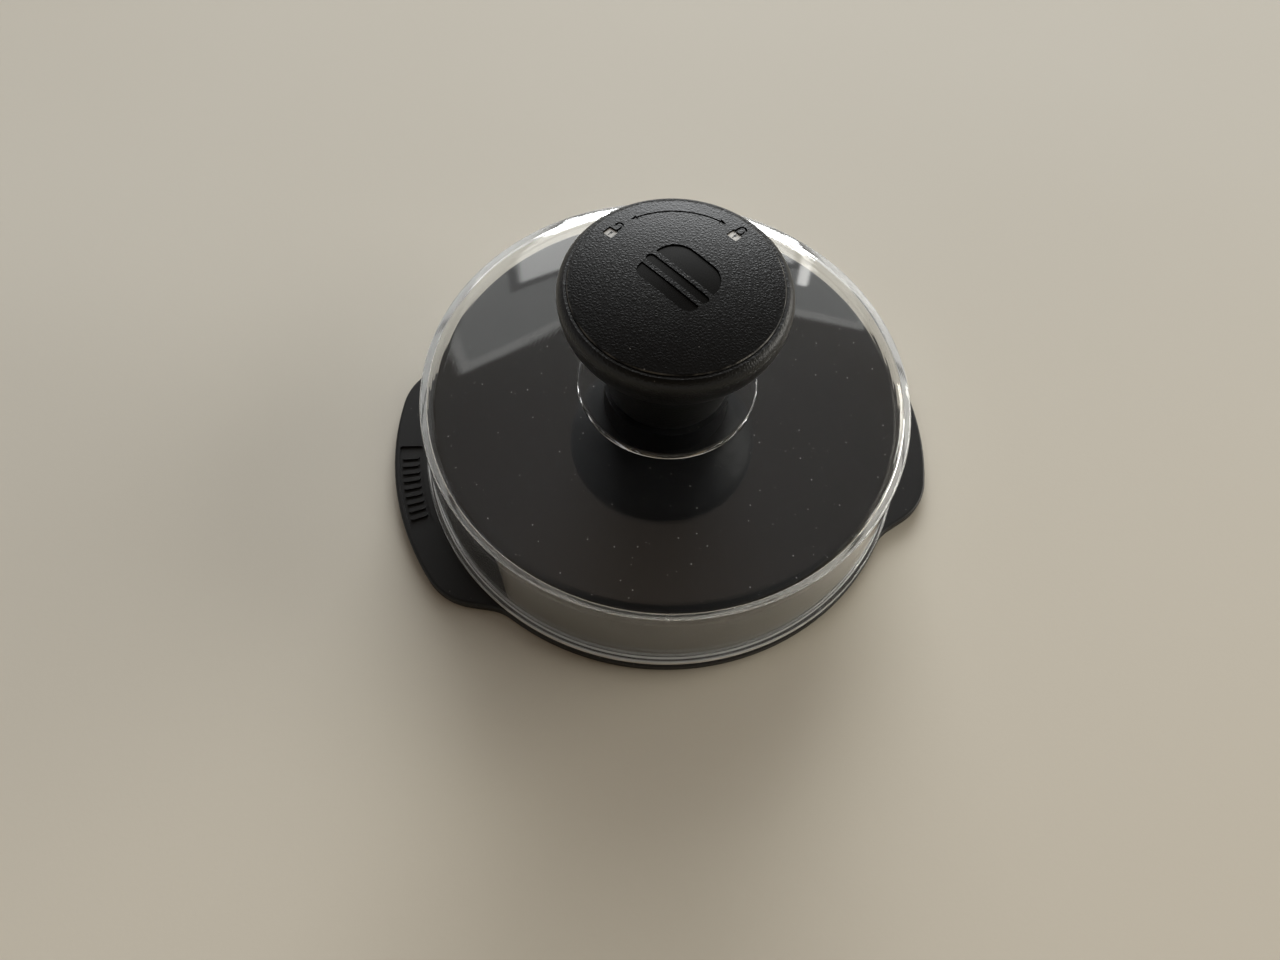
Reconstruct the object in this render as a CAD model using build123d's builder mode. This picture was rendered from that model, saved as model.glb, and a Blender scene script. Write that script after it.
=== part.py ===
"""Hand patty press: a tray with two ears, a clear cup that stands on it, a press plate
hung under the cup's top, and a mushroom knob that locks the plate on with a quarter turn.

Millimetres. The origin is on the table under the middle of the tray, +X runs through the
ears, -Y is the front and +Z is up.
"""
from build123d import *
from math import asin, atan2, cos, degrees, radians, sin, tan
import os

# ---------------------------------------------------------------- driving dimensions
# Clear cup: an upturned cup with a foot flange, a top that rolls over into the wall and a raised hub
rim_r = 62.0             # outer radius at the rim
cup_height = 26.9        # underside of the foot to the rim's corner
cup_wall = 2.0
cup_draft = 0.9          # how far the wall spreads from the rim to the foot
foot_reach = 1.1         # foot flange beyond the wall
foot_height = 2.3
rim_edge_r = 1.2
inner_edge_r = 0.5
roll_width = 5.5         # the top rolls over along this last stretch before the rim
roll_rise = 1.6          # and climbs this much from the rim's corner
roll_bulge = 0.24        # and bows above a straight slope by this much
foot_edge = 0.5
hub_edge_r = 0.5
top_wall = 2.2
dome_rise = 1.8          # the top climbs this much from the roll to the hub
dome_bulge = 0.55        # and bows above a straight cone by this much
hub_r = 22.3
hub_step = 1.3           # hub face above the dome beside it
hub_flare = 0.3          # the hub's side leans out this much
hub_shelf = 1.0          # hub's underside stops this far inside its edge

# Tray
tray_thickness = 3.2
tray_overhang = 0.3      # tray beyond the cup's foot
ear_reach = 8.8          # ear beyond the round of the tray
ear_arc_half = 27.8      # degrees, half of the ear's outer arc
ear_root_half = 37.8     # degrees, where the ear's flank meets the round
ear_corner_r = 16.0
ear_root_r = 12.0
flank_fill = 0.85        # the most of a flank that its two fillets take up
tray_top_edge_r = 0.8
tray_bottom_edge = 0.4
tray_rim_width = 3.5     # the rim that the tray rests on
underside_depth = 1.2
rib_width = 1.6
rib_ring_r = 30.0
rib_arms = 4             # each arm crosses the whole underside
locating_ring_width = 2.5
locating_ring_height = 2.2
ridge_count = 4          # low rings on the floor that let the patty come away
ridge_pitch = 11.5
ridge_width = 1.2
ridge_height = 0.5

# Grip panel sunk into the left ear
panel_start = 1.2        # from the round of the tray to the panel
panel_length = 6.2
panel_half = 10.5        # degrees
panel_depth = 0.5
panel_corner_r = 0.7
grip_rib_count = 9
grip_rib_width = 1.2
grip_rib_length = 4.6
grip_rib_half = 7.6      # degrees, first rib to the middle one

# Press plate
plate_gap = 0.7          # plate to cup wall
plate_drop = 5.9         # rim's corner down to the plate's top face
plate_thickness = 2.6
plate_edge_r = 0.9
dimple_r = 18.0
dimple_depth = 2.6
dimple_bow = 0.4         # the dimple's slope bows out this much

# Quarter-turn lock between the knob's stem and the plate's socket
stem_r = 8.2
stem_wall = 2.4
lug_reach = 2.6          # lug beyond the stem
lug_thickness = 2.6
lug_width = 60.0         # degrees
lug_count = 2
quarter_turn = 90.0      # degrees from locked to free
tab_width = 70.0         # degrees, the ledge that a lug hooks under
tab_thickness = 2.4
socket_wall = 4.8
stem_end_gap = 0.8       # stem's end above the socket floor
key_count = 3            # pegs that stop the plate turning in the cup
key_width = 5.0
key_depth = 1.6
key_height = 1.3
key_inset = 0.6          # hub hole to the peg's pocket

# Knob
neck_foot_r = 15.2
neck_top_r = 16.4
neck_height = 10.7
head_r = 26.3
flare_height = 22.1      # neck top to the widest part of the head
flare_share = 0.53       # of its whole spread, reached at half its height
shoulder_height = 3.0    # widest part to the lip round the cap
shoulder_slope = 0.5     # rise over run where the shoulder meets the lip
shoulder_reach = 1.6     # widest part beyond the lip's outer edge
lip_width = 0.6
knob_wall = 2.6
hollow_side = 2.2        # widest part down to the hollow's sloping side
ledge_width = 2.0
ledge_thickness = 1.5
neck_wall = 3.4
neck_floor = 2.7
foot_edge_r = 0.5

# Knob cap
cap_lift = 0.4           # cap's top edge above the lip round it
cap_edge_height = 2.3    # ledge to the cap's top edge
cap_crown = 2.1          # the cap's middle above its edge
cap_edge_r = 0.4
cap_plate = 1.9
cap_legs = 4
leg_thickness = 1.3
leg_width = 30.0         # degrees
barb_reach = 0.8
barb_height = 1.3

# Marks sunk into the cap
mark_depth = 0.35
mark_turn = -57.5        # degrees, the marks' upright from +Y
mark_line = 0.5
arrow_inset = 3.9        # arrow's line in from the cap's edge
arrow_start = 100.0      # degrees, from the marks' own +X
arrow_sweep = 65.0
arrow_line_inset = 2.0   # degrees, the line starts this far inside each head
arrow_head_length = 1.7
arrow_head_width = 1.5
shut_lock_inset = 5.4    # closed lock's middle in from the edge, at the marks' twelve o'clock
open_lock_inset = 4.1    # open lock's middle, a quarter turn to the left
open_lock_drop = 0.6
lock_width = 2.9
lock_height = 2.5
shackle_height = 2.6
shackle_width = 2.1
badge_width = 17.0       # plain bun and patty outline in the middle
bun_height = 6.0
bun_roundness = 0.92     # corner radius, as a share of the height
patty_width = 18.1
patty_height = 2.2
heel_height = 3.2
heel_roundness = 0.8
badge_gap = 1.1

# Clearances
rest_gap = 0.2           # cup foot to tray, hub to knob, hub to socket
ring_gap = 0.5           # locating ring to cup wall
turn_gap = 0.3           # round faces that turn past each other
stop_gap = 1.0           # degrees, lug to stop block
cap_gap = 0.1            # cap to its seat
key_gap = 0.2

# ---------------------------------------------------------------- derived sizes
tray_top = tray_thickness
foot_z = tray_top + rest_gap
rim_z = foot_z + cup_height
wall_foot_r = rim_r + cup_draft
foot_r = wall_foot_r + foot_reach
roll_r = rim_r - roll_width
roll_z = rim_z + roll_rise
foot_top_z = foot_z + foot_height
dome_top_z = roll_z + dome_rise
hub_z = dome_top_z + hub_step
hub_under_z = hub_z - top_wall
dome_outer_r = hub_r + hub_flare
dome_under_r = hub_r - hub_shelf
wall_top_z = rim_z + roll_rise * cup_wall / roll_width - top_wall

tray_r = foot_r + tray_overhang
ear_r = tray_r + ear_reach
ring_outer_r = wall_foot_r - cup_wall - ring_gap
ring_inner_r = ring_outer_r - locating_ring_width

lug_r = stem_r + lug_reach
socket_bore_r = lug_r + turn_gap
tab_inner_r = stem_r + turn_gap
hub_hole_r = lug_r + turn_gap
socket_r = socket_bore_r + socket_wall
ledge_root_r = socket_bore_r + socket_wall / 2
key_mid_r = hub_hole_r + key_inset + key_gap + key_depth / 2
socket_z = hub_under_z - rest_gap
plate_top_z = rim_z - plate_drop
plate_bottom_z = plate_top_z - plate_thickness
tab_under_z = socket_z - tab_thickness
lug_top_z = tab_under_z - turn_gap
stem_end_z = plate_top_z + stem_end_gap


def wall_inside_r(z):
    """Inner radius of the cup's drafted wall at height z."""
    return rim_r - cup_wall + cup_draft * (rim_z - z) / cup_height


plate_r = wall_inside_r(plate_top_z) - plate_gap

neck_foot_z = hub_z + rest_gap
neck_top_z = neck_foot_z + neck_height
head_z = neck_top_z + flare_height
lip_z = head_z + shoulder_height
neck_core_r = neck_top_r - neck_wall
lip_r = head_r - shoulder_reach
cap_seat_r = lip_r - lip_width
cavity_r = head_r - knob_wall
core_r = stem_r - stem_wall
ledge_r = cap_seat_r - ledge_width
cap_r = cap_seat_r - cap_gap
arrow_r = cap_r - arrow_inset
cap_edge_z = lip_z + cap_lift
ledge_z = cap_edge_z - cap_edge_height
ledge_under_z = ledge_z - ledge_thickness
cap_crown_z = cap_edge_z + cap_crown
dome_radius = (cap_r ** 2 + cap_crown ** 2) / (2 * cap_crown)
dome_centre_z = cap_crown_z - dome_radius


def polar(radius, angle):
    """Point at a radius and an angle in degrees."""
    return radius * cos(radians(angle)), radius * sin(radians(angle))


def fillets_on(flank, radii, turns):
    """The radii at a straight flank's two ends, smaller where the flank is too short for them."""
    needed = sum(radius * tan(radians(turn / 2)) for radius, turn in zip(radii, turns))
    return [radius * min(1, flank_fill * flank.length / needed) for radius in radii]


def corners_near(sketch, points):
    """The sketch's corner nearest each point."""
    return [sketch.vertices().sort_by_distance(Vector(*point))[0] for point in points]


def ring_sector(inner_r, outer_r, start, sweep):
    """Add the face between two arcs about the origin to the sketch in hand."""
    with BuildLine() as edge:
        inner = CenterArc((0, 0), inner_r, start, sweep)
        outer = CenterArc((0, 0), outer_r, start, sweep)
        Line(inner @ 0, outer @ 0)
        Line(inner @ 1, outer @ 1)
    make_face(edge.edges())


# ---------------------------------------------------------------- tray with two ears
with BuildPart() as base_tray:
    with BuildSketch() as tray_outline:
        with BuildLine():
            ear_arc = CenterArc((0, 0), ear_r, -ear_arc_half, 2 * ear_arc_half)
            Polyline(ear_arc @ 1, polar(tray_r, ear_root_half), polar(tray_r, -ear_root_half), ear_arc @ 0)
        make_face()
        mirror(about=Plane.YZ)
        Circle(tray_r)
        ear_corners = [polar(ear_r, side + turn * ear_arc_half) for side in (0, 180) for turn in (-1, 1)]
        ear_roots = [polar(tray_r, side + turn * ear_root_half) for side in (0, 180) for turn in (-1, 1)]
        flank = Vector(*polar(tray_r, ear_root_half)) - Vector(*polar(ear_r, ear_arc_half))
        flank_angle = degrees(atan2(flank.Y, flank.X)) - 90
        turns = (flank_angle - ear_arc_half, flank_angle - ear_root_half)
        corner_r, root_r = fillets_on(flank, (ear_corner_r, ear_root_r), turns)
        fillet(corners_near(tray_outline, ear_corners), corner_r)
        fillet(corners_near(tray_outline, ear_roots), root_r)
    extrude(amount=tray_thickness)
    fillet(base_tray.faces().sort_by(Axis.Z)[-1].outer_wire().edges(), tray_top_edge_r)
    chamfer(base_tray.faces().sort_by(Axis.Z)[0].outer_wire().edges(), tray_bottom_edge)
    # hollow underside, with a rim to rest on and stiffening ribs
    with BuildSketch() as underside:
        offset(tray_outline.sketch, amount=-tray_rim_width)
        Circle(rib_ring_r + rib_width / 2, mode=Mode.SUBTRACT)
        Circle(rib_ring_r - rib_width / 2)
        with PolarLocations(0, rib_arms, angular_range=180):
            Rectangle(2 * tray_r, rib_width, mode=Mode.SUBTRACT)
    extrude(amount=underside_depth, mode=Mode.SUBTRACT)
    # ring that the cup drops over, and low rings on the floor
    with BuildSketch(Plane.XY.offset(tray_top)):
        Circle(ring_outer_r)
        Circle(ring_inner_r, mode=Mode.SUBTRACT)
    extrude(amount=locating_ring_height)
    with BuildSketch(Plane.XY.offset(tray_top)):
        for step in range(ridge_count, 0, -1):
            Circle(step * ridge_pitch + ridge_width / 2)
            Circle(step * ridge_pitch - ridge_width / 2, mode=Mode.SUBTRACT)
    extrude(amount=ridge_height)
    # sunk panel with grip ribs on the left ear
    panel_inner_r = tray_r + panel_start
    panel_outer_r = panel_inner_r + panel_length
    with BuildSketch(Plane.XY.offset(tray_top).rotated((0, 0, 180))) as panel:
        ring_sector(panel_inner_r, panel_outer_r, -panel_half, 2 * panel_half)
        fillet(panel.vertices(), panel_corner_r)
        with PolarLocations((panel_inner_r + panel_outer_r) / 2, grip_rib_count, start_angle=-grip_rib_half,
                            angular_range=2 * grip_rib_half, endpoint=True):
            SlotOverall(grip_rib_length, grip_rib_width, mode=Mode.SUBTRACT)
    extrude(amount=-panel_depth, mode=Mode.SUBTRACT)

# ---------------------------------------------------------------- clear cup
with BuildPart() as clear_cup:
    with BuildSketch(Plane.XZ) as cup_profile:
        with BuildLine():
            Polyline((wall_inside_r(wall_top_z), wall_top_z), (wall_foot_r - cup_wall, foot_z),
                     (foot_r, foot_z), (foot_r, foot_top_z),
                     (wall_inside_r(foot_top_z) + cup_wall, foot_top_z),
                     (rim_r, rim_z))
            SagittaArc((rim_r, rim_z), (roll_r, roll_z), -roll_bulge)
            SagittaArc((roll_r, roll_z), (dome_outer_r, dome_top_z), -dome_bulge)
            Polyline((dome_outer_r, dome_top_z), (hub_r, hub_z), (hub_hole_r, hub_z),
                     (hub_hole_r, hub_under_z), (dome_under_r, hub_under_z),
                     (dome_under_r, dome_top_z - top_wall))
            SagittaArc((dome_under_r, dome_top_z - top_wall), (roll_r, roll_z - top_wall), dome_bulge)
            SagittaArc((roll_r, roll_z - top_wall), (wall_inside_r(wall_top_z), wall_top_z), roll_bulge)
        make_face()
        fillet(corners_near(cup_profile, [(rim_r, rim_z)]), rim_edge_r)
        fillet(corners_near(cup_profile, [(wall_inside_r(wall_top_z), wall_top_z)]), inner_edge_r)
        fillet(corners_near(cup_profile, [(foot_r, foot_z), (foot_r, foot_top_z)]), foot_edge)
        fillet(corners_near(cup_profile, [(hub_r, hub_z)]), hub_edge_r)
    revolve(axis=Axis.Z)
    # pockets for the plate's pegs
    with BuildSketch(Plane.XY.offset(hub_under_z)):
        with PolarLocations(key_mid_r, key_count):
            Rectangle(key_depth + 2 * key_gap, key_width + 2 * key_gap)
    extrude(amount=key_height, mode=Mode.SUBTRACT)

# ---------------------------------------------------------------- press plate
tab_start = -tab_width / 2
lug_pitch = 360 / lug_count
stop_start = quarter_turn + lug_width / 2 + stop_gap
stop_end = lug_pitch - lug_width / 2 - stop_gap
with BuildPart() as press_plate:
    with BuildSketch(Plane.XZ) as plate_profile:
        with BuildLine():
            SagittaArc((0, plate_bottom_z - dimple_depth), (dimple_r, plate_bottom_z), dimple_bow)
            Polyline((dimple_r, plate_bottom_z), (plate_r, plate_bottom_z), (plate_r, plate_top_z),
                     (socket_r, plate_top_z), (socket_r, socket_z), (socket_bore_r, socket_z),
                     (socket_bore_r, plate_top_z), (0, plate_top_z), (0, plate_bottom_z - dimple_depth))
        make_face()
        fillet(corners_near(plate_profile, [(plate_r, plate_bottom_z), (plate_r, plate_top_z)]), plate_edge_r)
    revolve(axis=Axis.Z)
    # ledges over the lugs
    with BuildSketch(Plane.XY.offset(tab_under_z)):
        for lug in range(lug_count):
            ring_sector(tab_inner_r, ledge_root_r, lug * lug_pitch + tab_start, tab_width)
    extrude(amount=tab_thickness)
    # blocks that stop the lugs when locked and when free
    with BuildSketch(Plane.XY.offset(plate_top_z)):
        for lug in range(lug_count):
            ring_sector(tab_inner_r, ledge_root_r, lug * lug_pitch + stop_start, stop_end - stop_start)
    extrude(amount=socket_z - plate_top_z)
    # pegs that keep the plate from turning in the cup
    with BuildSketch(Plane.XY.offset(socket_z)):
        with PolarLocations(key_mid_r, key_count):
            Rectangle(key_depth, key_width)
    extrude(amount=rest_gap + key_height - key_gap)

# ---------------------------------------------------------------- knob body
with BuildPart() as knob_body:
    with BuildSketch(Plane.XZ) as knob_profile:
        with BuildLine():
            flare_mid_r = neck_top_r + flare_share * (head_r - neck_top_r)
            Polyline((0, stem_end_z), (stem_r, stem_end_z), (stem_r, neck_foot_z), (neck_foot_r, neck_foot_z),
                     (neck_top_r, neck_top_z))
            Spline((neck_top_r, neck_top_z), (flare_mid_r, (neck_top_z + head_z) / 2), (head_r, head_z),
                   tangents=((neck_top_r - neck_foot_r, neck_height), (0, 1)))
            Spline((head_r, head_z), (lip_r, lip_z), tangents=((0, 1), (-1, shoulder_slope)))
            Polyline((lip_r, lip_z), (cap_seat_r, lip_z), (cap_seat_r, ledge_z),
                     (ledge_r, ledge_z), (ledge_r, ledge_under_z), (cavity_r, ledge_under_z),
                     (cavity_r, head_z - hollow_side), (neck_core_r, neck_top_z),
                     (neck_core_r, neck_foot_z + neck_floor), (core_r, neck_foot_z + neck_floor),
                     (core_r, stem_end_z + stem_wall), (0, stem_end_z + stem_wall), (0, stem_end_z))
        make_face()
        fillet(corners_near(knob_profile, [(neck_foot_r, neck_foot_z)]), foot_edge_r)
    revolve(axis=Axis.Z)
    with BuildSketch(Plane.XY.offset(lug_top_z - lug_thickness)):
        for lug in range(lug_count):
            ring_sector(stem_r - stem_wall / 2, lug_r, lug * lug_pitch - lug_width / 2, lug_width)
    extrude(amount=lug_thickness)

# ---------------------------------------------------------------- marks sunk into the cap


def padlock(spot, shut):
    """Add a padlock to the sketch in hand: a square body with a line-drawn shackle above it."""
    middle_x, middle_y = spot
    body_top = middle_y + lock_height / 2
    bow_r = (shackle_width - mark_line) / 2
    bow_y = body_top + shackle_height - bow_r - mark_line / 2
    free_end_y = body_top - mark_line if shut else bow_y - mark_line
    with BuildLine() as shackle:
        Line((middle_x + bow_r, body_top - mark_line), (middle_x + bow_r, bow_y))
        CenterArc((middle_x, bow_y), bow_r, 0, 180)
        Line((middle_x - bow_r, bow_y), (middle_x - bow_r, free_end_y))
    trace(shackle.edges(), line_width=mark_line)
    with Locations((middle_x, middle_y)):
        Rectangle(lock_width, lock_height)


def arrow_head(angle, turn):
    """Add an arrow head whose point lies at an angle on the arrow's circle."""
    spread = turn * degrees(arrow_head_length / arrow_r)
    with BuildLine() as head:
        Polyline(polar(arrow_r, angle), polar(arrow_r + arrow_head_width / 2, angle + spread),
                 polar(arrow_r - arrow_head_width / 2, angle + spread), close=True)
    make_face(head.edges())


with BuildPart() as cap_marks:
    with BuildSketch(Plane.XY.offset(ledge_z).rotated((0, 0, mark_turn))) as marks:
        with BuildLine() as arrow:
            CenterArc((0, 0), arrow_r, arrow_start + arrow_line_inset, arrow_sweep - 2 * arrow_line_inset)
        trace(arrow.edges(), line_width=mark_line)
        arrow_head(arrow_start, 1)
        arrow_head(arrow_start + arrow_sweep, -1)
        padlock((0, cap_r - shut_lock_inset), shut=True)
        padlock((open_lock_inset - cap_r, -open_lock_drop), shut=False)
        # plain bun and patty outline
        bun_base = patty_height / 2 + badge_gap
        with Locations((0, bun_base + bun_height / 2)):
            Rectangle(badge_width, bun_height)
        SlotOverall(patty_width, patty_height)
        with Locations((0, -bun_base - heel_height / 2)):
            Rectangle(badge_width, heel_height)
        half_badge = badge_width / 2
        bun_top = [(side * half_badge, bun_base + bun_height) for side in (-1, 1)]
        heel_bottom = [(side * half_badge, -bun_base - heel_height) for side in (-1, 1)]
        fillet(corners_near(marks, bun_top), bun_roundness * bun_height)
        fillet(corners_near(marks, heel_bottom), heel_roundness * heel_height)
    extrude(amount=2 * (cap_crown_z - ledge_z))
    with Locations((0, 0, dome_centre_z)):
        Sphere(dome_radius - mark_depth, rotation=(90, 0, 0), mode=Mode.SUBTRACT)

# ---------------------------------------------------------------- knob cap
leg_outer_r = ledge_r - cap_gap
leg_inner_r = leg_outer_r - leg_thickness
barb_r = leg_outer_r + barb_reach
leg_pitch = 360 / cap_legs
leg_length = ledge_thickness + barb_height + cap_gap
dome_half = degrees(asin(cap_r / dome_radius))
under_radius = dome_radius - cap_plate
under_half = degrees(asin(leg_inner_r / under_radius))
with BuildPart() as knob_cap:
    with BuildSketch(Plane.XZ) as cap_profile:
        with BuildLine():
            top_arc = CenterArc((0, dome_centre_z), dome_radius, 90 - dome_half, dome_half)
            under_arc = CenterArc((0, dome_centre_z), under_radius, 90 - under_half, under_half)
            Polyline(top_arc @ 0, (cap_r, ledge_z), (leg_inner_r, ledge_z), under_arc @ 0)
            Line(under_arc @ 1, top_arc @ 1)
        make_face()
        fillet(corners_near(cap_profile, [(cap_r, cap_edge_z)]), cap_edge_r)
    revolve(axis=Axis.Z)
    with BuildSketch(Plane.XY.offset(ledge_z)):
        for leg in range(cap_legs):
            ring_sector(leg_inner_r, leg_outer_r, leg * leg_pitch - leg_width / 2, leg_width)
    extrude(amount=-leg_length)
    with BuildSketch(Plane.XY.offset(ledge_z - leg_length)):
        for leg in range(cap_legs):
            ring_sector(leg_inner_r, barb_r, leg * leg_pitch - leg_width / 2, leg_width)
    extrude(amount=barb_height)
    add(cap_marks.part, mode=Mode.SUBTRACT)

# ---------------------------------------------------------------- write the pieces
pieces = {
    "base_tray": base_tray,
    "clear_cup": clear_cup,
    "press_plate": press_plate,
    "knob_body": knob_body,
    "knob_cap": knob_cap,
}
os.makedirs("parts", exist_ok=True)
for name, piece in pieces.items():
    piece.part.label = name
    export_step(piece.part, f"parts/{name}.step")
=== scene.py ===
# %% [markdown]
# # A hand press for patties
#
# The press is five moulded pieces: a black tray, a clear cup that stands on it, a black plate
# under the cup's top, and a hollow knob closed by a grained cap. Their real sizes, and how they
# move, come from a packed model, the frame. This lesson dresses that frame: it gives the pieces
# their plastics, turns a finer cup, and puts it all on a table in a lit room.

# %% Load the frame
from math import cos, pi, radians, sin, sqrt, tau

import bmesh
import bpy
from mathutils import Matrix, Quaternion, Vector


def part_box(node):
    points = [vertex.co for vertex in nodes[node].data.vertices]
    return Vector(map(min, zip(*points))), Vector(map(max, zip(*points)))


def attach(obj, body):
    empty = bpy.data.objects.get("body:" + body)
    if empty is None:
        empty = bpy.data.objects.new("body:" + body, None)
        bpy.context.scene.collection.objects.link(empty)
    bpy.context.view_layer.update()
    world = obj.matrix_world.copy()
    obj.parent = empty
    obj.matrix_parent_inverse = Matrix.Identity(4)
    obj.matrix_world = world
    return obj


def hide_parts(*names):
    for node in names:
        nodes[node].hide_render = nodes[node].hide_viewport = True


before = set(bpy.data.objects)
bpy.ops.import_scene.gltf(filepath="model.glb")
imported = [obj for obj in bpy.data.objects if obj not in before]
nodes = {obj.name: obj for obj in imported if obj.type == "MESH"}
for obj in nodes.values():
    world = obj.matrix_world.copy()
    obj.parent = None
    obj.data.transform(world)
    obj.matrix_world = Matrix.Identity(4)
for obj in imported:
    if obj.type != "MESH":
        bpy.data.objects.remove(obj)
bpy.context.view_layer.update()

MM = 0.001
scene = bpy.context.scene
scene.view_settings.view_transform = "Standard"

# %% [markdown]
# ## Where the eye is
#
# A camera is easiest to place by what it looks at. It stands at arm's length, a little left of
# the front, and looks steeply down at the near half of the cup. A hand-held camera is never quite
# level, so it also rolls a few degrees about its own axis.

# %% Camera
aim = Vector((-12.4, -24.3, 30.0)) * MM
eye_distance = 241.0 * MM
eye_azimuth = radians(16.0)      # the view turns this far from +Y towards +X
eye_down = radians(62.06)
eye_roll = radians(3.66)

sight = Vector((sin(eye_azimuth) * cos(eye_down), cos(eye_azimuth) * cos(eye_down), -sin(eye_down)))
camera = bpy.data.objects.new("camera", bpy.data.cameras.new("camera"))
camera.data.sensor_width = 36.0
camera.data.lens = 28.125
camera.data.clip_start = 0.01
camera.location = aim - sight * eye_distance
camera.rotation_mode = "QUATERNION"
camera.rotation_quaternion = sight.to_track_quat("-Z", "Y") @ Quaternion((0, 0, 1), eye_roll)
scene.collection.objects.link(camera)
scene.camera = camera
print("the eye is", round(camera.location.z / MM), "mm above the table")

# %% [markdown]
# ## Nodes written as sums
#
# Node trees are drawn with wires, but in a script a wire is just a value on its way somewhere.
# Wire holds one such value and lets it be added and multiplied, so a pattern reads like a
# formula. NodeMaker adds every other node: its type, its settings, then what goes in. Its short
# methods, such as blend and steps, name the few nodes that are needed again and again.


# %% A wire
class Wire:
    """One output socket, which sums and products can use like a number."""

    def __init__(self, maker, socket):
        self.maker = maker
        self.socket = socket

    def __add__(self, other):
        return self.maker.math("ADD", self, other)

    def __sub__(self, other):
        return self.maker.math("SUBTRACT", self, other)

    def __rsub__(self, other):
        return self.maker.math("SUBTRACT", other, self)

    def __mul__(self, other):
        return self.maker.math("MULTIPLY", self, other)

    def __truediv__(self, other):
        return self.maker.math("DIVIDE", self, other)

    def __mod__(self, other):
        return self.maker.math("FLOORED_MODULO", self, other)

    __radd__ = __add__
    __rmul__ = __mul__

    def output(self, name):
        """Another output of the node that this wire leaves."""
        return Wire(self.maker, self.socket.node.outputs[name])


print("a wire can be used in +, -, *, / and %")


# %% The node maker
class NodeMaker:
    """Adds nodes to one tree, of a material, a world or Geometry Nodes."""

    def __init__(self, tree):
        self.tree = tree

    def node(self, kind, settings=None, inputs=None, out=0):
        """A node's type, its settings, its inputs by name or number, and the output to give back."""
        made = self.tree.nodes.new(kind)
        for name, value in (settings or {}).items():
            if name == "stops":
                self.set_stops(made.color_ramp, value)
            else:
                setattr(made, name, value)
        for name, value in (inputs or {}).items():
            if isinstance(value, Wire):
                self.tree.links.new(value.socket, made.inputs[name])
            else:
                made.inputs[name].default_value = value
        return Wire(self, made.outputs[out]) if made.outputs else None

    def set_stops(self, ramp, stops):
        """A colour ramp's stops, each a place and a colour."""
        while len(ramp.elements) < len(stops):
            ramp.elements.new(1.0)
        for element, (place, shade) in zip(ramp.elements, stops):
            element.position = place
            element.color = shade

    def math(self, operation, first, second=0.0):
        return self.node("ShaderNodeMath", {"operation": operation}, {0: first, 1: second})

    def blend(self, share, first, second):
        """A colour that goes from the first to the second as share goes from 0 to 1."""
        return self.node("ShaderNodeMix", {"data_type": "RGBA"}, {0: share, 6: first, 7: second}, out=2)

    def steps(self, value, low, high):
        """0 below low, 1 above high, and smooth between them."""
        return self.node("ShaderNodeMapRange", {"interpolation_type": "SMOOTHSTEP"},
                         {"Value": value, "From Min": low, "From Max": high})

    def within(self, value, middle, half):
        """1 where a value is within half of a middle, with a hair's width of softness."""
        away = self.node("ShaderNodeMath", {"operation": "ABSOLUTE"}, {0: value - middle})
        return 1 - self.steps(away, half - 0.04 * MM, half)

    def noise(self, place, size, detail, out=0):
        """A cloudy pattern whose patches are about as wide as size."""
        return self.node("ShaderNodeTexNoise", {},
                         {"Vector": place, "Scale": 1 / size, "Detail": detail}, out=out)


print("a node maker knows", [name for name in vars(NodeMaker) if not name.startswith("_")])


# %% New materials and colours
def new_material(name):
    """An empty material, its node maker, and each point's place in Object coordinates."""
    material = bpy.data.materials.new(name)
    material.use_nodes = True
    material.node_tree.nodes.clear()
    make = NodeMaker(material.node_tree)
    return material, make, make.node("ShaderNodeTexCoord", out="Object")


def colour(red, green, blue):
    return (red, green, blue, 1.0)


print("white is", colour(1.0, 1.0, 1.0))

# %% [markdown]
# ## Black plastic, four ways
#
# All the dark pieces are moulded from much the same black plastic. What tells them apart is the
# tool's surface. The tray and the plate have a fine spark finish: one noise makes it, and a
# broad one adds the uneven gloss that handling leaves. Black plastic is darker than it seems,
# and most of what the eye sees on it is sheen, so the specular level matters more than the tint.


# %% Helpers for black plastic
def specks(make, place, spacing, low, high):
    """Grains of dust, 1 inside a grain: the cells of a Voronoi texture give each its own spot."""
    reach = make.node("ShaderNodeTexVoronoi", {}, {"Vector": place, "Scale": 1 / spacing}, out="Distance")
    return 1 - make.steps(reach, low, high)


def handled(make, place, roughness, spread):
    """A roughness that drifts by a spread, the way handling leaves it."""
    return roughness + (make.noise(place, 22 * MM, 4.0) - 0.5) * spread


def black_surface(make, tint, roughness, shine, height, depth):
    """The plastic itself, with a relief given by its height from 0 to 1 and its depth."""
    bump = make.node("ShaderNodeBump", {}, {"Strength": 1.0, "Distance": depth, "Height": height})
    shader = make.node("ShaderNodeBsdfPrincipled", {},
                       {"Base Color": tint, "Roughness": roughness, "IOR": 1.49,
                        "Specular IOR Level": shine, "Normal": bump})
    make.node("ShaderNodeOutputMaterial", {}, {"Surface": shader})


dust_colour = colour(0.30, 0.29, 0.27)
print("dust is", dust_colour)


# %% Spark finish of the tray and the plate
def spark_finish(name, tint, roughness, shine, pit_size, pit_depth):
    material, make, place = new_material(name)
    pits = make.node("ShaderNodeTexNoise", {},
                     {"Vector": place, "Scale": 1 / pit_size, "Detail": 3.0, "Roughness": 0.6})
    dusty = make.blend(specks(make, place, 2.6 * MM, 0.03, 0.075) * 0.4, tint, dust_colour)
    dull = handled(make, place, roughness, 0.14) + (pits - 0.5) * 0.10
    black_surface(make, dusty, dull, shine, pits, pit_depth)
    print(name, "has", len(material.node_tree.nodes), "nodes")
    return material


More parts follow.
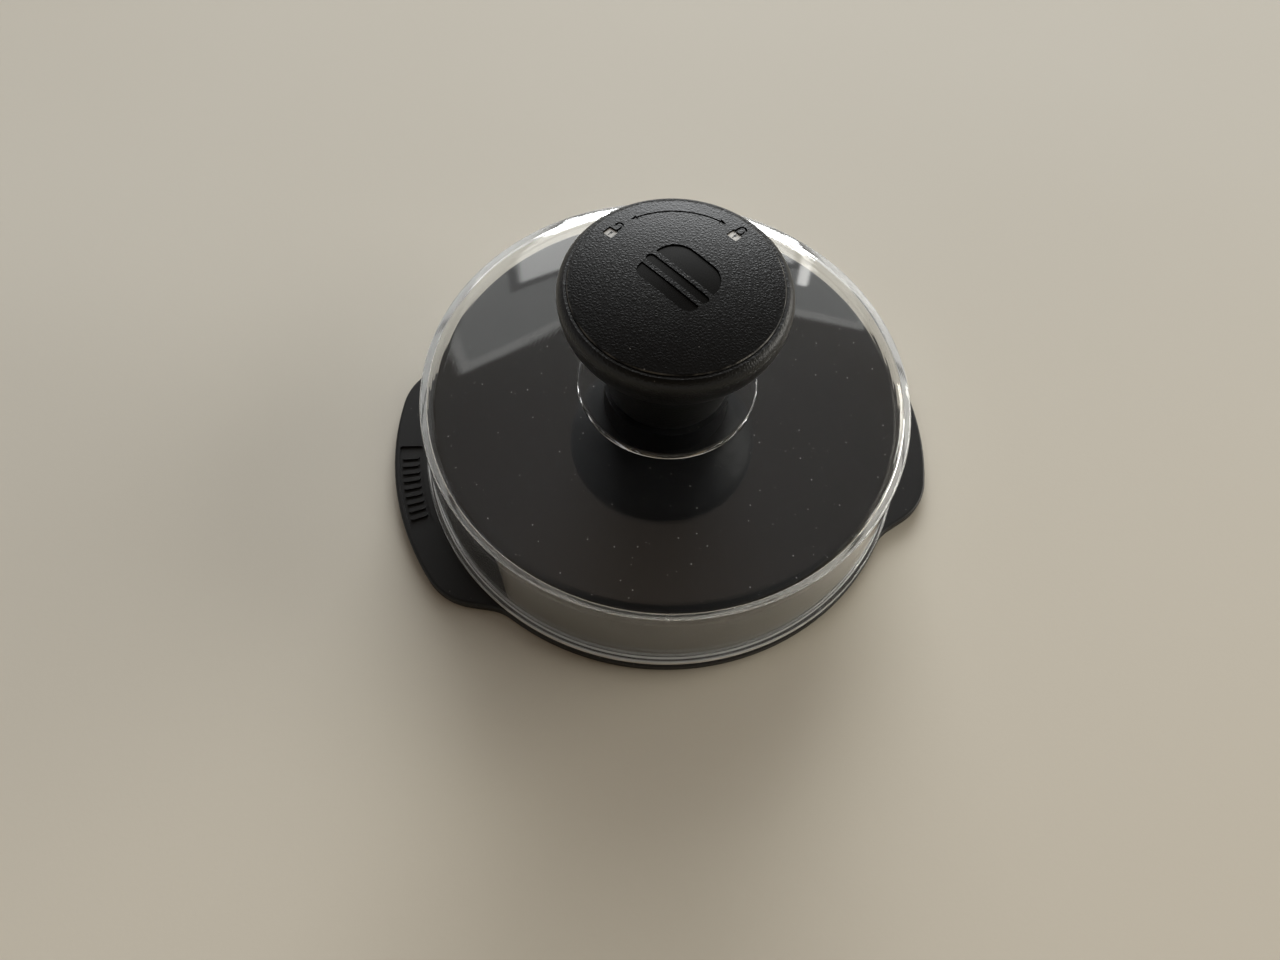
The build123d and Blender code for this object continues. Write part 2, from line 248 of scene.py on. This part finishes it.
tray_plastic = spark_finish("tray_plastic", colour(0.0055, 0.0052, 0.0052), roughness=0.46,
                            shine=0.34, pit_size=0.34 * MM, pit_depth=0.030 * MM)
plate_plastic = spark_finish("plate_plastic", colour(0.0030, 0.0033, 0.0042), roughness=0.50,
                             shine=0.18, pit_size=0.50 * MM, pit_depth=0.012 * MM)

# %% [markdown]
# The knob has a leather grain: low pebbles a bit under a millimetre wide, with shallow grooves
# between them. A Voronoi texture gives each point's distance to the nearest edge between two
# pebbles, and a noise bends those edges so that no two pebbles are alike. The grain is far too
# shallow to change the outline, so a bump is enough.


# %% Leather grain of the knob
def leather(make, place, pebble):
    """Height of a leather grain from 0 in the grooves to 1 on top of the pebbles."""
    bend = make.noise(place, 1.6 * pebble, 2.0, out="Color")
    warped = make.node("ShaderNodeVectorMath", {"operation": "MULTIPLY_ADD"},
                       {0: bend, 1: (pebble, pebble, pebble), 2: place})
    to_groove = make.node("ShaderNodeTexVoronoi", {"feature": "DISTANCE_TO_EDGE"},
                          {"Vector": warped, "Scale": 1 / pebble}, out="Distance")
    fine = make.noise(place, pebble / 3.0, 2.0)
    return make.steps(to_groove, 0.0, 0.34) * 0.75 + fine * 0.25


def grained_black(name, tint, roughness, shine, pebble, depth):
    material, make, place = new_material(name)
    grain = leather(make, place, pebble)
    dusty = make.blend(specks(make, place, 4.0 * MM, 0.02, 0.05) * 0.5, tint, dust_colour)
    black_surface(make, dusty, handled(make, place, roughness, 0.10), shine, grain, depth)
    print(name, "has", len(material.node_tree.nodes), "nodes")
    return material


knob_black = colour(0.0028, 0.0028, 0.0028)
knob_plastic = grained_black("knob_plastic", knob_black, roughness=0.38, shine=0.31,
                             pebble=0.85 * MM, depth=0.045 * MM)

# %% [markdown]
# The cap wears the same grain and three more things. Its arrow and outline are sunk into the
# solid itself, and their floors were polished in the tool, so the grain stops where the surface
# lies below the dome. Its two small padlocks have pale bodies with a dark keyhole; the pale is
# partly an inlay and partly a painted reflection of their smooth floors. Its edge carries a pale
# line in places, partly wear and partly a painted highlight of its rounded edge. All three come
# from distances, so they stay sharp from close by.

# %% Where the cap's marks are
mark_turn = radians(-57.5)       # the marks' upright, from +Y
shut_lock = (0.0, 18.6)          # middles of the two padlocks in mm, in the marks' own directions
open_lock = (-19.9, -0.6)
lock_body = (1.33, 0.0, 1.13)    # half its width, how far above the middle, half its height, in mm
lock_hole = (0.32, 0.25, 0.34)
lock_slit = (0.15, -0.35, 0.45)
cap_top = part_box("knob_cap")[1]
cap_rise = 2.1 * MM              # how far the cap's middle stands above its edge
dome_r = (cap_top.x ** 2 + cap_rise ** 2) / (2 * cap_rise)
print("the cap's dome has a radius of", round(dome_r / MM), "mm")


# %% Padlocks of the cap
def padlocks(make, x, y):
    """1 on the pale bodies of the two padlocks, and 0 in their keyholes and elsewhere."""
    across = x * cos(mark_turn) + y * sin(mark_turn)
    up = y * cos(mark_turn) - x * sin(mark_turn)
    pale = 0.0
    for lock_x, lock_y in (shut_lock, open_lock):
        body, hole, slit = [
            make.within(across, lock_x * MM, half_width * MM)
            * make.within(up, (lock_y + above) * MM, half_height * MM)
            for half_width, above, half_height in (lock_body, lock_hole, lock_slit)]
        pale = pale + body * (1 - make.math("MINIMUM", hole + slit, 1.0))
    return pale


# Pale of the padlock bodies: partly an inlay, partly a painted reflection of their smooth floors.
lock_pale_and_sheen = colour(0.62, 0.61, 0.58)
print("the padlocks stand at", shut_lock, "and", open_lock, "mm")


# %% Grain, padlocks and pale edge of the cap, the edge partly wear and partly a painted highlight
def cap_finish():
    material, make, place = new_material("cap_plastic")
    x = make.node("ShaderNodeSeparateXYZ", {}, {0: place})
    y = x.output("Y")
    radius = make.math("SQRT", x * x + y * y)
    patchy = make.steps(make.noise(place, 5 * MM, 5.0), 0.40, 0.62)
    edge_highlight_and_wear = make.within(radius, cap_top.x - 0.16 * MM, 0.14 * MM) * patchy
    height = x.output("Z") - (cap_top.z - dome_r)
    below_dome = dome_r - make.math("SQRT", x * x + y * y + height * height)
    inside = 1 - make.steps(radius, cap_top.x - 2 * MM, cap_top.x - 1 * MM)
    sunk = make.steps(below_dome, 0.10 * MM, 0.25 * MM) * inside
    tint = make.blend(specks(make, place, 3.6 * MM, 0.02, 0.055) * 0.6, knob_black, dust_colour)
    # A pale line on the cap's edge, in patches: partly wear, partly a painted highlight of the rounded
    # edge.
    tint = make.blend(edge_highlight_and_wear * 0.5, tint, colour(0.24, 0.23, 0.21))
    # Padlock bodies painted pale: an inlay and a painted reflection of their smooth floors.
    tint = make.blend(padlocks(make, x, y), tint, lock_pale_and_sheen)
    dull = handled(make, place, 0.34, 0.10) - sunk * 0.12
    grain = leather(make, place, 0.80 * MM) * (1 - sunk)
    black_surface(make, tint, dull, shine=0.19, height=grain, depth=0.038 * MM)
    print("cap_plastic has", len(material.node_tree.nodes), "nodes")
    return material


cap_plastic = cap_finish()

# %% [markdown]
# ## Clear plastic
#
# The cup is polished and clear, and bends light like any solid plastic. A renderer can't find
# lamps through bent light without a lot of noise, so rays that only ask whether a lamp is
# blocked go straight through. Some faces are duller than the rest, because they get rubbed: the
# underside below the wall, the lowest edge of the foot and, faintly, the wall and the step round
# the hub. Light that enters at the rim runs down inside the wall, turned back at every face,
# until it scatters on the underside. That is why the rim of a clear moulding looks bright, and it
# takes more bounces than a renderer allows at first, so the limits are raised here.

# %% Where the cup's faces are
cup_low, cup_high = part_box("clear_cup")
foot_z = cup_low.z / MM          # the cup's sizes are in mm
foot_r = cup_high.x / MM
hub_z = cup_high.z / MM
hub_r = 22.3
underside_haze = 0.52            # 0 is polished and 1 is matt
foot_edge_haze = 0.75
wall_haze = 0.022
hub_side_haze = 0.03
dust_haze = 0.30
print("the foot is", round(2 * foot_r, 1), "mm across, and the hub", round(hub_z, 1), "mm up")


# %% How rubbed each face is
def cup_haze(make, place):
    """The haze of each point: its face's own, or that of a grain of dust on it."""
    x = make.node("ShaderNodeSeparateXYZ", {}, {0: place})
    y = x.output("Y")
    height = x.output("Z")
    radius = make.math("SQRT", x * x + y * y)
    lowest = 1 - make.steps(height, (foot_z + 0.01) * MM, (foot_z + 0.06) * MM)
    below_wall = 1 - make.steps(radius, (foot_r - 1.3) * MM, (foot_r - 1.0) * MM)
    outermost = make.steps(radius, (foot_r - 0.55) * MM, (foot_r - 0.40) * MM)
    low_edge = 1 - make.steps(height, (foot_z + 1.1) * MM, (foot_z + 1.3) * MM)
    round_wall = make.steps(radius, (foot_r - 4.6) * MM, (foot_r - 4.0) * MM)
    below_top = 1 - make.steps(height, (hub_z - 8.0) * MM, (hub_z - 7.0) * MM)
    hub_side = make.within(radius, hub_r * MM, 0.40 * MM)
    above_dome = make.steps(height, (hub_z - 1.3) * MM, (hub_z - 1.0) * MM)
    haze = specks(make, place, 3.4 * MM, 0.040, 0.065) * dust_haze
    for face, share in ((lowest * below_wall, underside_haze), (outermost * low_edge, foot_edge_haze),
                        (round_wall * below_top, wall_haze), (hub_side * above_dome, hub_side_haze)):
        haze = make.math("MAXIMUM", haze, face * share)
    return haze


scene.cycles.max_bounces = 20
scene.cycles.glossy_bounces = 16
scene.cycles.transmission_bounces = 16
print("light may bounce", scene.cycles.max_bounces, "times")


# %% Clear plastic
def clear_plastic():
    material, make, place = new_material("clear_plastic")
    waves = make.noise(place, 14 * MM, 1.0)
    bump = make.node("ShaderNodeBump", {}, {"Strength": 0.35, "Distance": 0.015 * MM, "Height": waves})
    polished = make.node("ShaderNodeBsdfPrincipled", {},
                         {"Base Color": colour(0.985, 0.99, 0.985), "Roughness": 0.012, "IOR": 1.53,
                          "Transmission Weight": 1.0, "Normal": bump})
    scuffed = make.node("ShaderNodeBsdfPrincipled", {},
                        {"Base Color": colour(0.86, 0.85, 0.83), "Roughness": 0.55})
    solid = make.node("ShaderNodeMixShader", {}, {0: cup_haze(make, place), 1: polished, 2: scuffed})
    through = make.node("ShaderNodeBsdfTransparent", {}, {"Color": colour(0.94, 0.945, 0.94)})
    lamp_ray = make.node("ShaderNodeLightPath", out="Is Shadow Ray")
    surface = make.node("ShaderNodeMixShader", {}, {0: lamp_ray, 1: solid, 2: through})
    make.node("ShaderNodeOutputMaterial", {}, {"Surface": surface})
    print("clear_plastic has", len(material.node_tree.nodes), "nodes")
    return material


cup_plastic = clear_plastic()

# %% [markdown]
# ## The cup, turned
#
# A round moulding is one outline turned about an axis, and that is a rule that Geometry Nodes
# can follow. The tree takes the outline as a ring of edges, rounds each corner by the radius
# that the corner carries, and lays a grid over it: one way along the outline, the other way
# round the axis. Three pockets for the plate's pegs are then cut into the hub, each a copy of
# one block set out on a circle. A turned mesh is finer than the frame's own cup, so the long
# highlights on the rim run without a kink.

# %% The tree and its inputs
cup_tree = bpy.data.node_groups.new("turned_cup", "GeometryNodeTree")
for name, kind in (("Outline", "NodeSocketGeometry"), ("Segments", "NodeSocketInt"),
                   ("Corner steps", "NodeSocketInt"), ("Pockets", "NodeSocketInt"),
                   ("Pocket circle", "NodeSocketFloat"), ("Pocket size", "NodeSocketVector"),
                   ("Pocket height", "NodeSocketFloat"), ("Material", "NodeSocketMaterial")):
    cup_tree.interface.new_socket(name=name, in_out="INPUT", socket_type=kind)
cup_tree.interface.new_socket(name="Geometry", in_out="OUTPUT", socket_type="NodeSocketGeometry")
print("turned_cup takes", [item.name for item in cup_tree.interface.items_tree if item.in_out == "INPUT"])


# %% Lay a grid over the outline
def rounded_points(make, given):
    """Points along the outline once its corners are rounded, and how many there are."""
    curve = make.node("GeometryNodeMeshToCurve", {}, {"Mesh": given})
    corner = make.node("GeometryNodeInputNamedAttribute", {"data_type": "FLOAT"}, {"Name": "corner"})
    rounded = make.node("GeometryNodeFilletCurve", {"mode": "POLY"},
                        {"Curve": curve, "Count": given.output("Corner steps"), "Radius": corner,
                         "Limit Radius": True})
    points = make.node("GeometryNodeCurveToPoints", {"mode": "EVALUATED"}, {"Curve": rounded})
    count = make.node("GeometryNodeAttributeDomainSize", {"component": "POINTCLOUD"},
                      {"Geometry": points}, out="Point Count")
    return points, count


def turned_outline(make, given):
    """A grid whose rows follow the outline, wrapped round the axis and closed."""
    points, count = rounded_points(make, given)
    around = given.output("Segments") + 1
    grid = make.node("GeometryNodeMeshGrid", {}, {"Vertices X": count + 1, "Vertices Y": around})
    index = make.node("GeometryNodeInputIndex")
    row = make.node("ShaderNodeMath", {"operation": "FLOOR"}, {0: (index + 0.5) / around}) % count
    where = make.node("GeometryNodeInputPosition")
    spot = make.node("GeometryNodeSampleIndex", {"data_type": "FLOAT_VECTOR", "domain": "POINT"},
                     {"Geometry": points, "Value": where, "Index": row})
    radius = make.node("ShaderNodeSeparateXYZ", {}, {0: spot}, out="X")
    turn = (index % around) * tau / given.output("Segments")
    across = make.node("ShaderNodeMath", {"operation": "COSINE"}, {0: turn})
    along = make.node("ShaderNodeMath", {"operation": "SINE"}, {0: turn})
    placed = make.node("ShaderNodeCombineXYZ", {},
                       {0: radius * across, 1: radius * along, 2: radius.output("Z")})
    turned = make.node("GeometryNodeSetPosition", {}, {"Geometry": grid, "Position": placed})
    return make.node("GeometryNodeMergeByDistance", {}, {"Geometry": turned, "Distance": 0.0005 * MM})


make = NodeMaker(cup_tree)
given = make.node("NodeGroupInput", out="Outline")
turned = turned_outline(make, given)
print("turned_cup has", len(cup_tree.nodes), "nodes so far")


# %% Cut the pockets and finish the tree
def pocket_cutters(make, given):
    """One block for each pocket, set out on a circle and turned to face outwards."""
    block = make.node("GeometryNodeMeshCube", {}, {"Size": given.output("Pocket size")})
    circle = make.node("GeometryNodeCurvePrimitiveCircle", {"mode": "RADIUS"},
                       {"Resolution": given.output("Pockets"), "Radius": given.output("Pocket circle")})
    raised = make.node("ShaderNodeCombineXYZ", {}, {2: given.output("Pocket height")})
    lifted = make.node("GeometryNodeSetPosition", {}, {"Geometry": circle, "Offset": raised})
    index = make.node("GeometryNodeInputIndex")
    facing = make.node("ShaderNodeCombineXYZ", {}, {2: index * tau / given.output("Pockets")})
    blocks = make.node("GeometryNodeInstanceOnPoints", {},
                       {"Points": lifted, "Instance": block, "Rotation": facing})
    return make.node("GeometryNodeRealizeInstances", {}, {"Geometry": blocks})


pocketed = make.node("GeometryNodeMeshBoolean", {"operation": "DIFFERENCE", "solver": "EXACT"},
                     {"Mesh 1": turned, "Mesh 2": pocket_cutters(make, given)})
edge_angle = make.node("GeometryNodeInputMeshEdgeAngle", out="Unsigned Angle")
soft_below = radians(32)         # an edge that turns less than this is shaded smooth
soft = make.node("FunctionNodeCompare", {"data_type": "FLOAT", "operation": "LESS_THAN"},
                 {"A": edge_angle, "B": soft_below})
smooth = make.node("GeometryNodeSetShadeSmooth", {"domain": "EDGE"},
                   {"Geometry": pocketed, "Shade Smooth": soft})
realized = make.node("GeometryNodeRealizeInstances", {}, {"Geometry": smooth})
dressed = make.node("GeometryNodeSetMaterial", {},
                    {"Geometry": realized, "Material": given.output("Material")})
make.node("NodeGroupOutput", {}, {"Geometry": dressed})
print("turned_cup has", len(cup_tree.nodes), "nodes")

# %% [markdown]
# The outline runs round the section of the wall: down its inner face, out along the foot, up
# the outer face, over the rounded rim, and across the domed top to the raised hub and back
# underneath. A corner that is rounded carries its radius. The domed top is an arc, and rolls
# over more steeply in its last few millimetres before the rim.

# %% Sizes of the wall, the foot and the rim
cup_wall = 2.0
cup_draft = 0.9                  # the wall spreads this far from the rim to the foot
foot_reach = 1.1
foot_height = 2.3
foot_low_edge_r = 0.35
foot_edge_r = 0.5
foot_root_r = 0.25
rim_edge_r = 1.2
inner_edge_r = 0.5
roll_width = 5.5                 # the top rolls over in this last stretch before the rim
roll_rise = 1.6
roll_bulge = 0.24
rim_r = foot_r - foot_reach - cup_draft
foot_top_z = foot_z + foot_height
print("the rim is", round(2 * rim_r, 1), "mm across")

# %% Sizes of the domed top and the hub
top_wall = 2.2
dome_rise = 1.8
dome_bulge = 0.55
hub_step = 1.3
hub_flare = 0.3                  # the hub's side spreads this far down to the dome
hub_shelf = 1.0                  # the recess below the hub stops this far inside its edge
hub_edge_r = 0.5
hub_hole_r = 11.1
hole_edge_r = 0.15
pocket_circle_r = 12.7
pocket_size = (2.0, 5.4, 2.6)
hub_under_z = hub_z - top_wall
dome_top_z = hub_z - hub_step
roll_z = dome_top_z - dome_rise
rim_z = roll_z - roll_rise
wall_top_z = rim_z + roll_rise * cup_wall / roll_width - top_wall
print("the rim is", round(rim_z, 1), "mm up and the hub", round(hub_z - rim_z, 1), "mm above it")


# %% Outline of the cup
def wall_inside_r(z):
    """Inner radius of the drafted wall at height z."""
    return rim_r - cup_wall + cup_draft * (rim_z - z) / (rim_z - foot_z)


def bowed(start, end, bulge, count):
    """Points from start to end, bowed to the left of the way by a bulge, without the two ends."""
    (x0, z0), (x1, z1) = start, end
    span = sqrt((x1 - x0) ** 2 + (z1 - z0) ** 2)
    left_x, left_z = -(z1 - z0) / span, (x1 - x0) / span
    return [(x0 + (x1 - x0) * t + left_x * bulge * 4 * t * (1 - t),
             z0 + (z1 - z0) * t + left_z * bulge * 4 * t * (1 - t), 0.0)
            for t in (step / count for step in range(1, count))]


rim = (rim_r, rim_z)
roll_start = (rim_r - roll_width, roll_z)
under_roll = (rim_r - roll_width, roll_z - top_wall)
wall_corner = (wall_inside_r(wall_top_z), wall_top_z)
hub_root = (hub_r + hub_flare, dome_top_z)
hub_under = (hub_r - hub_shelf, dome_top_z - top_wall)
outline = [
    (*wall_corner, inner_edge_r),
    (wall_inside_r(foot_z), foot_z, 0.0),
    (foot_r, foot_z, foot_low_edge_r),
    (foot_r, foot_top_z, foot_edge_r),
    (wall_inside_r(foot_top_z) + cup_wall, foot_top_z, foot_root_r),
    (*rim, rim_edge_r),
    *bowed(rim, roll_start, -roll_bulge, count=10),
    (*roll_start, 0.0),
    *bowed(roll_start, hub_root, -dome_bulge, count=40),
    (*hub_root, 0.0),
    (hub_r, hub_z, hub_edge_r),
    (hub_hole_r, hub_z, hole_edge_r),
    (hub_hole_r, hub_under_z, hole_edge_r),
    (hub_r - hub_shelf, hub_under_z, 0.0),
    (*hub_under, 0.0),
    *bowed(hub_under, under_roll, dome_bulge, count=40),
    (*under_roll, 0.0),
    *bowed(under_roll, wall_corner, roll_bulge, count=6),
]
print("the outline has", len(outline), "points")


# %% Turn the cup
def run_tree(start, tree, values):
    """Swap an object's mesh for the plain mesh that a tree makes of it, its inputs set by name."""
    modifier = start.modifiers.new("made", "NODES")
    modifier.node_group = tree
    sockets = {item.name: item.identifier for item in tree.interface.items_tree if item.in_out == "INPUT"}
    for name, value in values.items():
        modifier[sockets[name]] = value
    start.update_tag()
    bpy.context.view_layer.update()
    result = bpy.data.meshes.new_from_object(start.evaluated_get(bpy.context.evaluated_depsgraph_get()))
    start.modifiers.remove(modifier)
    start.data = result


outline_mesh = bpy.data.meshes.new("clear_shell")
outline_mesh.from_pydata([(x * MM, 0.0, z * MM) for x, z, _ in outline],
                         [(i, (i + 1) % len(outline)) for i in range(len(outline))], [])
corners = outline_mesh.attributes.new("corner", "FLOAT", "POINT")
corners.data.foreach_set("value", [radius * MM for _, _, radius in outline])
clear_shell = bpy.data.objects.new("clear_shell", outline_mesh)
scene.collection.objects.link(clear_shell)
run_tree(clear_shell, cup_tree, {
    "Segments": 480, "Corner steps": 6, "Pockets": 3, "Pocket circle": pocket_circle_r * MM,
    "Pocket size": tuple(side * MM for side in pocket_size), "Pocket height": hub_under_z * MM,
    "Material": cup_plastic})
print("the cup has", len(clear_shell.data.polygons), "faces")

# %% Point its faces outwards, measure it and let it ride on the lid
shell = bmesh.new()
shell.from_mesh(clear_shell.data)
bmesh.ops.recalc_face_normals(shell, faces=shell.faces)
open_edges = sum(not edge.is_manifold for edge in shell.edges)
volume = shell.calc_volume(signed=True) / MM ** 3
shell.to_mesh(clear_shell.data)
shell.free()
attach(clear_shell, "lid")
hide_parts("clear_cup")
print("the cup has", open_edges, "open edges and holds", round(volume), "mm3 of plastic")

# %% [markdown]
# The other four pieces already have the right shape in the frame, so their meshes stay as they
# are, and each only gets its plastic.

# %% Put the black plastics on the frame's own pieces
for name, material in (("base_tray", tray_plastic), ("press_plate", plate_plastic),
                       ("knob_body", knob_plastic), ("knob_cap", cap_plastic)):
    nodes[name].data.materials.clear()
    nodes[name].data.materials.append(material)
    print(name, "wears", material.name)

# %% [markdown]
# ## Table
#
# A pale table is all that shows behind the press. It is matt, so that it carries soft shadows
# and doesn't mirror the windows. Its tint turns a little warmer towards the front, which is
# painted warm light: the dim warm light of the room in the shade in front of the press.

# %% Table
table_half = 0.75                # half of the table's side, in m
table_drop = 0.05 * MM           # keeps its face clear of the tray's underside


def table_top():
    """A matt, cloudy finish with a fine grit."""
    material, make, place = new_material("table_top")
    cloud = make.node("ShaderNodeTexNoise", {}, {"Vector": place, "Scale": 6.0, "Detail": 3.0})
    shade = make.blend(cloud, colour(0.70, 0.665, 0.585), colour(0.74, 0.71, 0.635))
    depth = make.node("ShaderNodeSeparateXYZ", {}, {0: place}, out="Y")
    # Painted warm light: the tint turns warmer towards the front, for the room's warm light in the shade
    # there.
    near = 1 - make.steps(depth, -0.24, 0.14)
    shade = make.blend(near * 0.75, shade, colour(0.725, 0.655, 0.535))
    grit = make.noise(place, 1.2 * MM, 2.0)
    bump = make.node("ShaderNodeBump", {}, {"Strength": 0.4, "Distance": 0.03 * MM, "Height": grit})
    shader = make.node("ShaderNodeBsdfPrincipled", {},
                       {"Base Color": shade, "Roughness": 0.75, "Specular IOR Level": 0.15,
                        "Normal": bump})
    make.node("ShaderNodeOutputMaterial", {}, {"Surface": shader})
    return material


table_mesh = bpy.data.meshes.new("table")
table_mesh.from_pydata([(x * table_half, y * table_half, -table_drop)
                        for x, y in ((-1, -1), (1, -1), (1, 1), (-1, 1))], [], [(0, 1, 2, 3)])
table_mesh.materials.append(table_top())
table = bpy.data.objects.new("table", table_mesh)
scene.collection.objects.link(table)
print("the table is", 2 * table_half, "m square")

# %% [markdown]
# ## Light
#
# One window stands low behind the press and another to the right. Both are large and far off,
# which gives soft shadows and lights the table evenly. A lamp's power is given in watts, so a
# window of a chosen brightness gets its power from its own area.


# %% Windows
def window(name, azimuth, elevation, distance, width, height, radiance, shade):
    """A lit pane that faces the press from an azimuth, measured from +Y towards +X, and an elevation."""
    lamp = bpy.data.lights.new(name, "AREA")
    lamp.shape = "RECTANGLE"
    lamp.size = width
    lamp.size_y = height
    lamp.energy = radiance * pi * width * height
    lamp.color = shade
    a, e = radians(azimuth), radians(elevation)
    way = Vector((sin(a) * cos(e), cos(a) * cos(e), sin(e)))
    holder = bpy.data.objects.new(name, lamp)
    holder.location = way * distance
    holder.rotation_mode = "QUATERNION"
    holder.rotation_quaternion = (-way).to_track_quat("-Z", "Y")
    scene.collection.objects.link(holder)
    print(name, "gives", round(lamp.energy), "W")


window("window_back", azimuth=18.0, elevation=19.0, distance=4.60, width=2.86, height=1.89,
       radiance=10.0, shade=(0.955, 0.98, 1.0))
window("window_right", azimuth=92.0, elevation=14.0, distance=4.60, width=3.83, height=1.53,
       radiance=8.7, shade=(1.0, 0.975, 0.90))

# %% [markdown]
# The room is a world, painted by direction. It is dim overhead, so that the cup's top, which
# mirrors what is above, stays dark enough to see into, and darker still where someone leans over
# the press. It also holds what the polished faces mirror: a window with a frame, in a pale recess
# behind, and a fainter window to the left. A direction's two slopes on a wall, sideways and up,
# turn a rectangle into four plain limits. Seen directly, in a mirror or through plastic, the room
# has a pale horizon where the table ends.

# %% Rectangles on the room's walls
# Each is left, right, low and high as slopes, and the softness of its edges.
recess_limits = (-0.29, 0.98, -0.2, 1.27, 0.015)
inner_limits = (-0.25, 0.94, -0.2, 1.22, 0.008)
frame_limits = (-0.075, 0.66, 0.0, 0.965, 0.006)
glass_limits = (-0.045, 0.63, 0.04, 0.93, 0.012)
jamb_limits = (0.655, 0.69, 0.10, 1.06, 0.008)
left_glass_limits = (-0.25, 0.45, 0.25, 0.80, 0.05)


def pane(make, across, up, left, right, low, high, soft):
    """1 inside a rectangle of directions and 0 outside it, with soft edges."""
    inside = make.steps(across, left - soft, left + soft)
    inside = inside * (1 - make.steps(across, right - soft, right + soft))
    return inside * make.steps(up, low - soft, low + soft) * (1 - make.steps(up, high - soft, high + soft))


print("the recess spans", round(recess_limits[1] - recess_limits[0], 2), "of its distance")

# %% The room's tones
# The stops run from the level to straight above.
room_stops = [(0.0, colour(0.128, 0.084, 0.032)), (0.5, colour(0.142, 0.101, 0.046)),
              (0.8, colour(0.12, 0.100, 0.08)), (0.92, colour(0.15, 0.125, 0.105)),
              (1.0, colour(0.20, 0.160, 0.125))]
front_dark_tone = colour(0.012, 0.011, 0.010)
glow_tone = colour(0.25, 0.25, 0.265)
recess_tone = colour(1.15, 1.14, 1.1)
inner_tone = colour(0.78, 0.78, 0.76)
frame_tone = colour(0.35, 0.34, 0.33)
glass_tone = colour(2.6, 2.6, 2.55)
jamb_tone = colour(5.0, 4.95, 4.8)
left_glass_tone = colour(0.42, 0.42, 0.46)
horizon_tone = colour(0.66, 0.645, 0.61)
print("the room goes through", len(room_stops), "tones from the level up")


# %% The room
def room_light():
    """A world that paints each part over the ones before it, from the dim walls to the horizon."""
    world = bpy.data.worlds.new("room")
    world.use_nodes = True
    world.node_tree.nodes.clear()
    make = NodeMaker(world.node_tree)
    x = make.node("ShaderNodeSeparateXYZ", {}, {0: make.node("ShaderNodeTexCoord", out="Generated")})
    y = x.output("Y")
    z = x.output("Z")
    back = make.math("MAXIMUM", y, 0.001)
    side = make.math("MAXIMUM", 0 - x, 0.001)
    behind = make.steps(y, 0.0, 0.05)
    leftward = make.steps(0 - x, 0.0, 0.05)
    recess, inner, window_frame, glass, jamb = [
        pane(make, x / back, z / back, *limits) * behind
        for limits in (recess_limits, inner_limits, frame_limits, glass_limits, jamb_limits)]
    left_glass = pane(make, y / side, z / side, *left_glass_limits) * leftward
    glow = behind * make.steps(y, 0.1, 0.6) * (1 - make.steps(z, 0.55, 0.75))
    front_dark = make.steps(0 - y, 0.05, 0.22) * make.steps(z, 0.70, 0.88)
    seen = make.node("ShaderNodeLightPath", out="Is Camera Ray")
    by_plastic = make.math("MAXIMUM", seen.output("Is Glossy Ray"), seen.output("Is Transmission Ray"))
    horizon = make.math("MAXIMUM", seen, by_plastic) * (1 - make.steps(z, 0.20, 0.36))
    shade = make.node("ShaderNodeValToRGB", {"stops": room_stops}, {0: z})
    for part, tone in ((front_dark, front_dark_tone), (glow, glow_tone), (recess, recess_tone),
                       (inner, inner_tone), (window_frame - glass, frame_tone), (glass, glass_tone),
                       (jamb, jamb_tone), (left_glass, left_glass_tone), (horizon, horizon_tone)):
        shade = make.blend(part, shade, tone)
    background = make.node("ShaderNodeBackground", {}, {"Color": shade, "Strength": 1.0})
    make.node("ShaderNodeOutputWorld", {}, {"Surface": background})
    print("the room has", len(world.node_tree.nodes), "nodes")
    return world


scene.world = room_light()

# %% [markdown]
